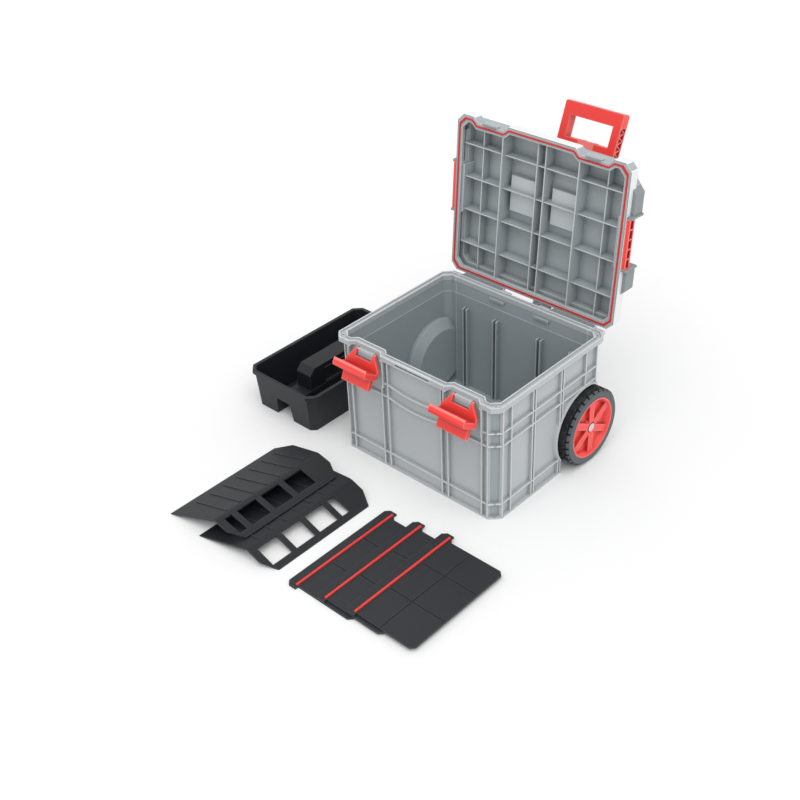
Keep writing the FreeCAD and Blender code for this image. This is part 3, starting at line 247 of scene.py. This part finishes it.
def seamMask(tree, seams):
    # 0 along the planes where sections of one moulding meet, so no painted edge highlight shows there
    place = split(tree, objectPlace(tree))
    mask = 1.0
    for axis, value in seams:
        along = absolute(tree, place[axis]) if axis == "X" else place[axis]
        away = absolute(tree, math2(tree, "SUBTRACT", along, value))
        mask = math2(tree, "MULTIPLY", mask, ranged(tree, away, seamFade["near"], seamFade["far"]))
    return mask


def skirtTones(tree, colour, inside, skirt):
    # bright skirt and deeper crown on the lid's outside; depth is measured along a direction
    place = objectPlace(tree)
    depth = vector2(tree, "DOT_PRODUCT", place, skirt["along"], "Value")
    across = absolute(tree, split(tree, place)["X"])
    near = ranged(tree, depth, skirt["from"] - skirt["soft"], skirt["from"])
    far = ranged(tree, depth, skirt["to"] + skirt["soft"], skirt["to"])
    flush = ranged(tree, across, skirt["halfWidth"] + skirt["soft"], skirt["halfWidth"])
    outside = math2(tree, "SUBTRACT", 1.0, inside)
    facing = add(
        tree, "ShaderNodeVectorTransform", {0: add(tree, "ShaderNodeNewGeometry").outputs["Normal"]},
        vector_type="NORMAL", convert_from="WORLD", convert_to="OBJECT").outputs["Vector"]
    tilt = absolute(tree, vector2(tree, "DOT_PRODUCT", facing, skirt["along"], "Value"))
    level = ranged(tree, tilt, *skirt["tilt"])
    bright = math2(tree, "MULTIPLY", math2(tree, "MULTIPLY", near, far), math2(tree, "MULTIPLY", flush, outside))
    bright = math2(tree, "MULTIPLY", bright, level)
    deep = math2(tree, "MULTIPLY", math2(tree, "SUBTRACT", outside, bright), skirt["crownShare"], True)
    colour = mixed(tree, deep, colour, skirt["crown"])
    return mixed(tree, math2(tree, "MULTIPLY", bright, skirt["share"]), colour, skirt["tone"])


def mouldedPlastic(name, look):
    # plastic with grain, painted highlights on pale edges and painted shade in inside corners, and where it has a
    # hollow, painted shade inside it and the tones of a hollow
    tree, shader = startMaterial(name)
    grain = placeGrain(tree, look)
    edgeLightShade = add(tree, "ShaderNodeGroup", {
        "Edge Reach": look["edgeReach"], "Corner Reach": look["cornerReach"], "Rounding": look["rounding"]},
        node_tree=edgeGroup).outputs
    colour = mixed(tree, grain["Drift"], look["body"], look["bodyDrift"])
    # painted shade darkens the inside corners
    cornerShadeMask = math2(tree, "MULTIPLY", edgeLightShade["Corner"], look["cornerShadeShare"], True)
    colour = mixed(tree, cornerShadeMask, colour, look["corner"])
    # painted highlight pales the edges
    highlightMask = math2(tree, "MULTIPLY", edgeLightShade["Edge"], look["highlightShare"], True)
    if "seams" in look:
        highlightMask = math2(tree, "MULTIPLY", highlightMask, seamMask(tree, look["seams"]))
    colour = mixed(tree, highlightMask, colour, look["edge"])
    if "room" in look:
        # painted shade darkens the inside of the hollow
        inside = roomMask(tree, look["room"])
        colour = mixed(tree, inside, colour, look["room"]["tone"], "MULTIPLY")
        if "skirt" in look:
            colour = skirtTones(tree, colour, inside, look["skirt"])
        if "bins" in look:
            colour = mixed(tree, roomMask(tree, look["bins"]), colour, look["bins"]["tone"])
    if "bounce" in look:
        # the red throws only a muted glow on the floor
        thrown = add(tree, "ShaderNodeLightPath").outputs["Is Diffuse Ray"]
        colour = mixed(tree, thrown, colour, look["bounce"])
    rough = ranged(tree, grain["Speckle"], 0.0, 1.0, *look["rough"])
    finishSurface(tree, shader, colour, rough, bumped(tree, grain["Height"], look["grainDepth"], edgeLightShade["Normal"]))
    shader.inputs["Specular IOR Level"].default_value = look["gloss"]


# edge is the colour of the painted highlight on edges, corner the colour of the painted shade in inside corners
shellLook = {
    "body": paint(178, 183, 185), "bodyDrift": paint(184, 188, 190), "edge": paint(247, 248, 249),
    "corner": paint(118, 125, 128), "highlightShare": 0.85, "cornerShadeShare": 0.6, "edgeReach": 0.002,
    "cornerReach": 0.016, "rounding": 0.0009, "grainSize": 1400.0, "driftSize": 8.0, "grainDepth": 0.00004,
    "rough": (0.42, 0.55), "gloss": 0.45,
}
# edge: painted pink highlight on edges; corner: painted deep red shade in inside corners
redLook = {
    "body": paint(245, 58, 51), "bodyDrift": paint(248, 66, 59), "edge": paint(255, 144, 136),
    "corner": paint(150, 8, 12), "highlightShare": 0.8, "cornerShadeShare": 1.0, "edgeReach": 0.0028,
    "cornerReach": 0.014, "rounding": 0.0012, "grainSize": 1600.0, "driftSize": 14.0, "grainDepth": 0.00002,
    "rough": (0.26, 0.36), "gloss": 0.55, "bounce": paint(120, 112, 112),
}
sealLook = dict(
    redLook, body=paint(196, 30, 30), bodyDrift=paint(204, 36, 34), highlightShare=0.15, rough=(0.5, 0.62), gloss=0.3)
stripLook = dict(
    redLook, body=paint(226, 38, 34), bodyDrift=paint(232, 46, 40), highlightShare=0.2, rounding=0.0024)
# edge: painted highlight on edges; corner: painted shade in inside corners and grooves
charcoalLook = {
    "body": paint(26, 28, 32), "bodyDrift": paint(30, 32, 36), "edge": paint(88, 91, 96),
    "corner": paint(4, 5, 6), "highlightShare": 0.45, "cornerShadeShare": 1.0, "edgeReach": 0.0018,
    "cornerReach": 0.008, "rounding": 0.0009, "grainSize": 1200.0, "driftSize": 12.0, "grainDepth": 0.00006,
    "rough": (0.42, 0.56), "gloss": 0.4,
}
# corner: painted shade in the grooves and inside corners
panelLook = dict(
    charcoalLook, body=paint(38, 40, 44), bodyDrift=paint(42, 44, 48), corner=paint(5, 6, 8), cornerReach=0.004)
# the room tone is painted shade inside the crate
crateLook = dict(
    shellLook, seams=(("X", 0.196), ("Y", -0.156), ("Y", -0.1715), ("Y", 0.0), ("Z", 0.004)),
    room={"turn": 0, "middle": (0, 0, 0.1408), "half": (0.2128, 0.1728, 0.1378), "soft": 0.0004,
          "tone": (0.7, 0.74, 0.76, 1)})
# the lid is open, so the depth of its skirt is measured square to the seal face; the room tone is painted shade
# inside the lid
lidLook = dict(
    shellLook,
    room={"turn": lidLean, "middle": (0, 0.2378, 0.4726), "half": (0.2244, 0.1848, 0.0224), "soft": 0.0004,
          "tone": (0.85, 0.88, 0.89, 1)},
    skirt={"along": (0, 0.9968, -0.0802), "from": 0.1786, "to": 0.2037, "halfWidth": 0.2262, "soft": 0.0004,
           "tilt": (0.8, 0.4), "share": 0.9, "tone": paint(236, 238, 239), "crownShare": 0.85,
           "crown": paint(124, 131, 134)},
    bins={"turn": lidLean, "middle": (0, 0.2478, 0.5038), "half": (0.0895, 0.0415, 0.0014), "soft": 0.0004,
          "tone": paint(190, 195, 197)})
mouldedFinishes = {
    "greyShell": shellLook, "greyCrate": crateLook, "greyLid": lidLook, "redMoulding": redLook,
    "redSeal": sealLook, "redStrip": stripLook, "charcoalMoulding": charcoalLook, "charcoalPanel": panelLook}
for finish, look in mouldedFinishes.items():
    mouldedPlastic(finish, look)

tyreLook = {
    "side": paint(92, 98, 101), "tread": paint(26, 27, 29), "sideFrom": (0.45, 0.85), "dust": paint(120, 122, 120),
    "dustFrom": (0.45, 0.75), "dustShare": 0.18, "grainSize": 700.0, "driftSize": 26.0, "grainDepth": 0.00012,
    "rough": (0.66, 0.86), "gloss": 0.3,
}


def tyreRubber(name, look):
    # grey side wall, darker tread, a little dust
    tree, shader = startMaterial(name)
    grain = placeGrain(tree, look)
    facing = split(tree, add(tree, "ShaderNodeNewGeometry").outputs["Normal"])
    side = ranged(tree, absolute(tree, facing["X"]), *look["sideFrom"])
    colour = mixed(tree, side, look["tread"], look["side"])
    dust = ranged(tree, grain["Drift"], *look["dustFrom"], 0.0, look["dustShare"])
    colour = mixed(tree, dust, colour, look["dust"])
    rough = ranged(tree, grain["Speckle"], 0.0, 1.0, *look["rough"])
    finishSurface(tree, shader, colour, rough, bumped(tree, grain["Height"], look["grainDepth"]))
    shader.inputs["Specular IOR Level"].default_value = look["gloss"]


tyreRubber("tyreRubber", tyreLook)

steelLook = {
    "bright": (0.78, 0.78, 0.77, 1), "dull": (0.6, 0.6, 0.6, 1), "rough": (0.16, 0.34), "streaks": (40, 900, 900),
    "streakDetail": 4.0, "lean": 0, "depth": 0.00002}
aluminiumLook = {
    "bright": (0.8, 0.81, 0.82, 1), "dull": (0.66, 0.67, 0.69, 1), "rough": (0.28, 0.42),
    "streaks": (900, 900, 14), "streakDetail": 4.0, "lean": postLean, "depth": 0.00001}


def drawnMetal(name, look):
    # streaks follow the way the rod was turned or the tube was drawn
    tree, shader = startMaterial(name)
    along = add(tree, "ShaderNodeMapping", {
        "Vector": objectPlace(tree), "Rotation": (math.radians(look["lean"]), 0, 0), "Scale": look["streaks"]})
    streak = add(tree, "ShaderNodeTexNoise", {
        "Vector": along.outputs["Vector"], "Scale": 1.0, "Detail": look["streakDetail"]}).outputs["Fac"]
    colour = mixed(tree, streak, look["dull"], look["bright"])
    rough = ranged(tree, streak, 0.0, 1.0, *look["rough"])
    finishSurface(tree, shader, colour, rough, bumped(tree, streak, look["depth"]))
    shader.inputs["Metallic"].default_value = 1


drawnMetal("turnedSteel", steelLook)
drawnMetal("satinAluminium", aluminiumLook)
print("finishes made")

finishOf = {
    "greyShell": ("handle_console",),
    "greyCrate": (
        "crate_floor", "crate_front", "crate_ledges", "crate_back", "crate_corner_left", "crate_corner_right",
        "crate_side_left", "crate_side_right", "crate_well_left", "crate_well_right"),
    "greyLid": ("lid_shell",),
    "redSeal": ("lid_gasket",),
    "redMoulding": (
        "side_grip_left", "side_grip_right", "latch_lever_left", "latch_lever_right",
        "wheel_hub_left", "wheel_hub_right", "handle_loop", "handle_button"),
    "redStrip": ("divider_strip_bottom", "divider_strip_middle", "divider_strip_top"),
    "charcoalMoulding": ("channel_collar", "tray_body", "organiser_lower", "organiser_upper"),
    "charcoalPanel": ("divider_panel_bottom", "divider_panel_middle", "divider_panel_top"),
    "tyreRubber": ("wheel_tyre_left", "wheel_tyre_right"),
    "turnedSteel": ("axle_stubs", "axle_retainers", "hinge_pins", "latch_pins", "console_screws", "loop_pins"),
    "satinAluminium": ("handle_channel", "handle_post"),
}
for finish, names in finishOf.items():
    for name in names:
        cad[name].data.materials.clear()
        cad[name].data.materials.append(bpy.data.materials[finish])

print("finishes given to the nodes")

# zigzag ribs in the pockets on both sides of the loop grip
truss = {
    "low": 0.5343, "high": 0.6067, "cells": 8, "halfWidth": 0.0089, "rib": 0.0016, "depth": 0.0046,
    "floor": 0.0711, "foot": (0, 0.202, 0.07), "lean": postLean}


def zigzagTree():
    tree = bpy.data.node_groups.new("zigzagRibs", "GeometryNodeTree")
    for label, kind in (
            ("Length", "NodeSocketFloat"), ("Cells", "NodeSocketInt"), ("Half Width", "NodeSocketFloat"),
            ("Rib", "NodeSocketFloat"), ("Depth", "NodeSocketFloat"), ("Finish", "NodeSocketMaterial")):
        tree.interface.new_socket(label, in_out="INPUT", socket_type=kind)
    tree.interface.new_socket("Geometry", in_out="OUTPUT", socket_type="NodeSocketGeometry")
    given = tree.nodes.new("NodeGroupInput").outputs
    result = tree.nodes.new("NodeGroupOutput").inputs
    step = math2(tree, "DIVIDE", given["Length"], given["Cells"])
    first = add(tree, "ShaderNodeCombineXYZ", {"Z": math2(tree, "MULTIPLY", step, 0.5)})
    offset = add(tree, "ShaderNodeCombineXYZ", {"Z": step})
    row = add(tree, "GeometryNodeMeshLine", {
        "Count": given["Cells"], "Start Location": first.outputs["Vector"], "Offset": offset.outputs["Vector"]})
    # each rib runs across its cell from corner to corner, and every second one the other way
    across = math2(tree, "MULTIPLY", given["Half Width"], 2.0)
    angle = math2(tree, "ARCTAN2", across, step)
    square = math2(tree, "ADD", math2(tree, "MULTIPLY", across, across), math2(tree, "MULTIPLY", step, step))
    span = math2(tree, "SQRT", square, 0.0)
    parity = math2(tree, "MODULO", add(tree, "GeometryNodeInputIndex").outputs[0], 2.0)
    way = math2(tree, "SUBTRACT", math2(tree, "MULTIPLY", parity, 2.0), 1.0)
    turned = add(tree, "ShaderNodeCombineXYZ", {"X": math2(tree, "MULTIPLY", way, angle)})
    size = add(tree, "ShaderNodeCombineXYZ", {"X": given["Depth"], "Y": given["Rib"], "Z": span})
    rib = add(tree, "GeometryNodeMeshCube", {"Size": size.outputs["Vector"]})
    spread = add(tree, "GeometryNodeInstanceOnPoints", {
        "Points": row.outputs["Mesh"], "Instance": rib.outputs["Mesh"], "Rotation": turned.outputs["Vector"]})
    real = add(tree, "GeometryNodeRealizeInstances", {"Geometry": spread.outputs["Instances"]})
    done = add(tree, "GeometryNodeSetMaterial", {
        "Geometry": real.outputs["Geometry"], "Material": given["Finish"]})
    tree.links.new(done.outputs["Geometry"], result["Geometry"])
    return tree


def grown(name, tree, values):
    # runs a node tree on an empty mesh and keeps the result as a plain mesh
    holder = bpy.data.objects.new(name + "Maker", bpy.data.meshes.new(name + "Maker"))
    bpy.context.scene.collection.objects.link(holder)
    modifier = holder.modifiers.new("maker", "NODES")
    modifier.node_group = tree
    for socket in tree.interface.items_tree:
        if socket.in_out == "INPUT" and socket.name in values:
            modifier[socket.identifier] = values[socket.name]
    mesh = bpy.data.meshes.new_from_object(holder.evaluated_get(bpy.context.evaluated_depsgraph_get()))
    mesh.name = name
    holder.modifiers.remove(modifier)
    bpy.data.objects.remove(holder)
    return mesh


def addTruss():
    mesh = grown("loopTruss", zigzagTree(), {
        "Length": truss["high"] - truss["low"], "Cells": truss["cells"], "Half Width": truss["halfWidth"],
        "Rib": truss["rib"], "Depth": truss["depth"], "Finish": bpy.data.materials["redMoulding"]})
    lean = Matrix.Rotation(-math.radians(truss["lean"]), 4, "X")
    for side, tag in ((-1, "Left"), (1, "Right")):
        x = side * (truss["floor"] + truss["depth"] / 2)
        copy = mesh.copy()
        copy.transform(Matrix.Translation(truss["foot"]) @ lean @ Matrix.Translation((x, 0, truss["low"])))
        ribs = bpy.data.objects.new("loopTruss" + tag, copy)
        bpy.context.scene.collection.objects.link(ribs)
        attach(ribs, "handle")
    bpy.data.meshes.remove(mesh)


addTruss()
print("loop ribs added")

# pale floor, not part of the toolbox
floorLook = {"half": 30, "tone": (0.86, 0.86, 0.86, 1), "rough": 0.9, "gloss": 0.1}


def layFloor():
    half = floorLook["half"]
    mesh = bpy.data.meshes.new("floor")
    mesh.from_pydata([(-half, -half, 0), (half, -half, 0), (half, half, 0), (-half, half, 0)], [], [(0, 1, 2, 3)])
    floor = bpy.data.objects.new("floor", mesh)
    bpy.context.scene.collection.objects.link(floor)
    shader = startMaterial("paleFloor")[1]
    shader.inputs["Base Color"].default_value = floorLook["tone"]
    shader.inputs["Roughness"].default_value = floorLook["rough"]
    shader.inputs["Specular IOR Level"].default_value = floorLook["gloss"]
    mesh.materials.append(bpy.data.materials["paleFloor"])


layFloor()
print("floor laid")
